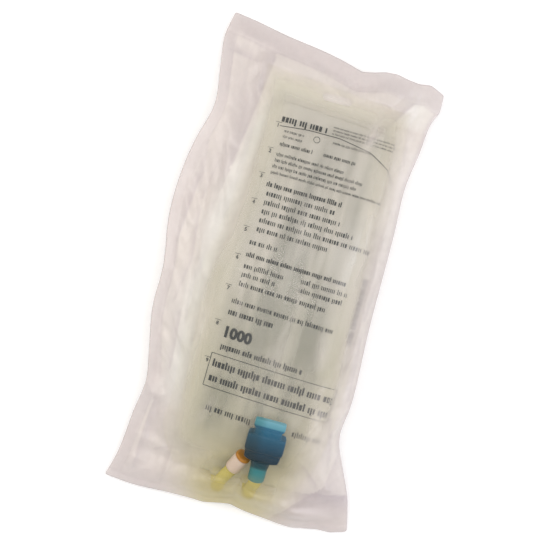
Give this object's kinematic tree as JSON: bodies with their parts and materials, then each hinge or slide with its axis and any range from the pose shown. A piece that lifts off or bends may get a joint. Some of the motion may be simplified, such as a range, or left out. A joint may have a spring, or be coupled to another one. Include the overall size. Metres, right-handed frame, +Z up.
{
  "type": "intravenous fluid bag in its overpouch",
  "caption": "Filled soft infusion bag with folded port tubes and a pull-off port protector, sealed in a milky see-through film overpouch.",
  "frame": {"origin": "under the middle of the bounding box, on the surface that the pouch lies on", "axes": "+Y up the bag from its ports to its hanger slot, +Z up out of its printed front, +X to the right of that front"},
  "size_m": [0.1814, 0.3454, 0.0532],
  "materials": {
    "overpouch_film": "milky translucent film with soft wrinkles and glossy streaks",
    "bag_film": "soft, faintly green see-through vinyl",
    "clear_fluid": "clear fluid",
    "port_tube": "yellowish soft vinyl",
    "port_sleeve": "pinkish white soft vinyl",
    "septum_rubber": "matt tan rubber",
    "port_protector": "blue moulded polyethylene, lighter where it is thin"
  },
  "bodies": {
    "root": {"overpouch_front": "overpouch_film", "overpouch_back": "overpouch_film", "bag_front_sheet": "bag_film", "bag_back_sheet": "bag_film", "fluid_fill": "clear_fluid", "injection_port_tube": "port_tube", "injection_port_sleeve": "port_sleeve", "injection_port_septum": "septum_rubber", "outlet_port_tube": "port_tube", "outlet_membrane": "port_tube", "port_protector": "port_protector"}
  },
  "joints": []
}
